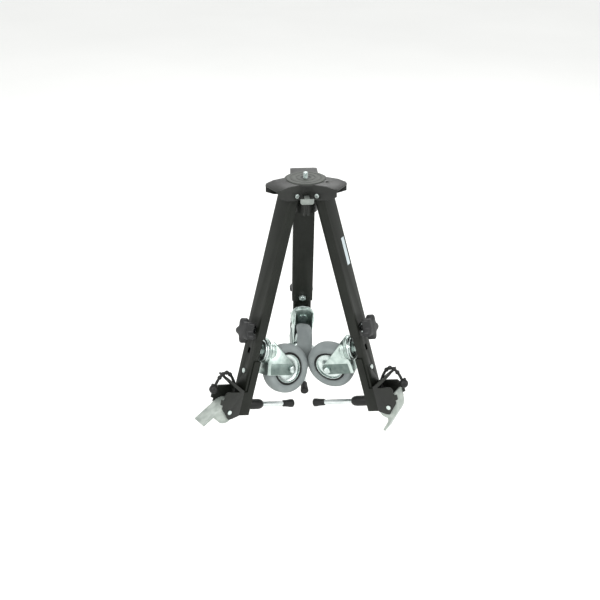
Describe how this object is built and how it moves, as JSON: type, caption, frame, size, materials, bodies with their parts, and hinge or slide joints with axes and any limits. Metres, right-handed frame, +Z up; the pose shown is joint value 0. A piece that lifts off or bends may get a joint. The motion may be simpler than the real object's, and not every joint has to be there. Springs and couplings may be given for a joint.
{
  "type": "folding tripod dolly",
  "caption": "Folding three-arm dolly for a camera tripod: studded hub, telescoping arms that fold down, swivel casters, strap foot clamps and pedal jacks.",
  "frame": {"origin": "centre of the camera pad's top face, on the hub's axis", "axes": "+Z up along the stud; +Y towards the rear arm; the front release latch faces -Y"},
  "size_m": [0.4257, 0.3956, 0.5174],
  "materials": {
    "black_casting": "satin black-grey powder coat on cast aluminium",
    "black_arm": "satin black powder coat",
    "pad_black": "matt moulded pad",
    "zinc": "bright zinc plate",
    "bright_rod": "ground and chromed",
    "tyre_grey": "non-marking grey rubber",
    "knob_black": "fine texture moulded",
    "rubber_black": "matt",
    "cast_grey": "bead-blasted casting",
    "spring_steel": "drawn wire"
  },
  "bodies": {
    "hub": {"hub_cover": "black_casting", "camera_pad": "pad_black", "hub_core": "black_casting", "hinge_pins": "zinc", "head_stud": "zinc"},
    "latch": {"release_latch": "cast_grey"},
    "arm_rear": {"arm_tube_rear": "black_arm", "clamp_nut_rear": "zinc"},
    "slide_rear": {"arm_slide_rear": "black_arm", "end_bracket_rear": "black_arm", "caster_stem_rear": "zinc", "foot_clamp_rear": "black_casting", "foot_strap_rear": "rubber_black", "jack_sleeve_rear": "rubber_black", "return_spring_rear": "spring_steel", "slide_fasteners_rear": "zinc"},
    "knob_rear": {"clamp_knob_rear": "knob_black"},
    "fork_rear": {"caster_fork_rear": "zinc", "axle_bolt_rear": "zinc"},
    "wheel_rear": {"wheel_tyre_rear": "tyre_grey", "wheel_rim_rear": "zinc"},
    "pedal_rear": {"pedal_rear": "cast_grey"},
    "jack_rear": {"jack_rod_rear": "bright_rod", "jack_cap_rear": "rubber_black"},
    "arm_left": {"arm_tube_left": "black_arm", "clamp_nut_left": "zinc"},
    "slide_left": {"arm_slide_left": "black_arm", "end_bracket_left": "black_arm", "caster_stem_left": "zinc", "foot_clamp_left": "black_casting", "foot_strap_left": "rubber_black", "jack_sleeve_left": "rubber_black", "return_spring_left": "spring_steel", "slide_fasteners_left": "zinc"},
    "knob_left": {"clamp_knob_left": "knob_black"},
    "fork_left": {"caster_fork_left": "zinc", "axle_bolt_left": "zinc"},
    "wheel_left": {"wheel_tyre_left": "tyre_grey", "wheel_rim_left": "zinc"},
    "pedal_left": {"pedal_left": "cast_grey"},
    "jack_left": {"jack_rod_left": "bright_rod", "jack_cap_left": "rubber_black"},
    "arm_right": {"arm_tube_right": "black_arm", "clamp_nut_right": "zinc"},
    "slide_right": {"arm_slide_right": "black_arm", "end_bracket_right": "black_arm", "caster_stem_right": "zinc", "foot_clamp_right": "black_casting", "foot_strap_right": "rubber_black", "jack_sleeve_right": "rubber_black", "return_spring_right": "spring_steel", "slide_fasteners_right": "zinc"},
    "knob_right": {"clamp_knob_right": "knob_black"},
    "fork_right": {"caster_fork_right": "zinc", "axle_bolt_right": "zinc"},
    "wheel_right": {"wheel_tyre_right": "tyre_grey", "wheel_rim_right": "zinc"},
    "pedal_right": {"pedal_right": "cast_grey"},
    "jack_right": {"jack_rod_right": "bright_rod", "jack_cap_right": "rubber_black"}
  },
  "joints": [
    {"name": "latch_press", "type": "slide", "parent": "hub", "child": "latch", "axis": [0, 1, 0], "range_m": [0, 0.004], "stiffness_N_per_m": 400},
    {"name": "arm_swing_rear", "type": "hinge", "parent": "hub", "child": "arm_rear", "pos_m": [0, 0.0376, -0.023], "axis": [1, 0, 0], "range_deg": [0, 74]},
    {"name": "arm_extend_rear", "type": "slide", "parent": "arm_rear", "child": "slide_rear", "axis": [0, 0.2756, -0.9613], "range_m": [0, 0.1]},
    {"name": "knob_turn_rear", "type": "hinge", "parent": "arm_rear", "child": "knob_rear", "pos_m": [0, 0.11612, -0.29686], "axis": [0, 0.9613, 0.2756], "range_deg": [0, 360]},
    {"name": "caster_swivel_rear", "type": "hinge", "parent": "slide_rear", "child": "fork_rear", "pos_m": [0, 0.12041, -0.33829], "axis": [0, 0.9613, 0.2756], "range_deg": [-6, 12]},
    {"name": "wheel_spin_rear", "type": "hinge", "parent": "fork_rear", "child": "wheel_rear", "pos_m": [-0.00563, 0.05619, -0.39369], "axis": [-0.9877, -0.0431, 0.1504], "continuous": true},
    {"name": "pedal_press_rear", "type": "hinge", "parent": "slide_rear", "child": "pedal_rear", "pos_m": [0, 0.19547, -0.44659], "axis": [-1, 0, 0], "range_deg": [0, 85.7]},
    {"name": "jack_travel_rear", "type": "slide", "parent": "slide_rear", "child": "jack_rear", "axis": [0, -0.9613, -0.2756], "range_m": [0, 0.01302], "deforming": ["return_spring_rear"]},
    {"name": "arm_swing_left", "type": "hinge", "parent": "hub", "child": "arm_left", "pos_m": [-0.03256, -0.0188, -0.023], "axis": [-0.5, 0.866, 0], "range_deg": [0, 74]},
    {"name": "arm_extend_left", "type": "slide", "parent": "arm_left", "child": "slide_left", "axis": [-0.2387, -0.1378, -0.9613], "range_m": [0, 0.1]},
    {"name": "knob_turn_left", "type": "hinge", "parent": "arm_left", "child": "knob_left", "pos_m": [-0.10057, -0.05806, -0.29686], "axis": [-0.8325, -0.4806, 0.2756], "range_deg": [0, 360]},
    {"name": "caster_swivel_left", "type": "hinge", "parent": "slide_left", "child": "fork_left", "pos_m": [-0.10428, -0.0602, -0.33829], "axis": [-0.8325, -0.4806, 0.2756], "range_deg": [-6, 10]},
    {"name": "wheel_spin_left", "type": "hinge", "parent": "fork_left", "child": "wheel_left", "pos_m": [-0.04382, -0.03606, -0.39294], "axis": [0.5447, -0.8008, 0.2488], "continuous": true},
    {"name": "pedal_press_left", "type": "hinge", "parent": "slide_left", "child": "pedal_left", "pos_m": [-0.16928, -0.09773, -0.44659], "axis": [0.5, -0.866, 0], "range_deg": [0, 85.7]},
    {"name": "jack_travel_left", "type": "slide", "parent": "slide_left", "child": "jack_left", "axis": [0.8325, 0.4806, -0.2756], "range_m": [0, 0.01302], "deforming": ["return_spring_left"]},
    {"name": "arm_swing_right", "type": "hinge", "parent": "hub", "child": "arm_right", "pos_m": [0.03256, -0.0188, -0.023], "axis": [-0.5, -0.866, 0], "range_deg": [0, 74]},
    {"name": "arm_extend_right", "type": "slide", "parent": "arm_right", "child": "slide_right", "axis": [0.2387, -0.1378, -0.9613], "range_m": [0, 0.1]},
    {"name": "knob_turn_right", "type": "hinge", "parent": "arm_right", "child": "knob_right", "pos_m": [0.10057, -0.05806, -0.29686], "axis": [0.8325, -0.4806, 0.2756], "range_deg": [0, 360]},
    {"name": "caster_swivel_right", "type": "hinge", "parent": "slide_right", "child": "fork_right", "pos_m": [0.10428, -0.0602, -0.33829], "axis": [0.8325, -0.4806, 0.2756], "range_deg": [-4, 12]},
    {"name": "wheel_spin_right", "type": "hinge", "parent": "fork_right", "child": "wheel_right", "pos_m": [0.05176, -0.02267, -0.39359], "axis": [0.451, 0.8768, 0.1669], "continuous": true},
    {"name": "pedal_release_right", "type": "hinge", "parent": "slide_right", "child": "pedal_right", "pos_m": [0.16928, -0.09773, -0.44659], "axis": [-0.5, -0.866, 0], "range_deg": [0, 85.7]},
    {"name": "jack_travel_right", "type": "slide", "parent": "slide_right", "child": "jack_right", "axis": [0.8325, -0.4806, 0.2756], "range_m": [0, 0.01302], "deforming": ["return_spring_right"]}
  ],
  "couplings": [
    {"joint": "jack_travel_rear", "follows": "pedal_press_rear", "m_per_rad": 0.0086913},
    {"joint": "jack_travel_left", "follows": "pedal_press_left", "m_per_rad": 0.0086913},
    {"joint": "jack_travel_right", "follows": "pedal_release_right", "m_per_rad": 0.0086913}
  ]
}
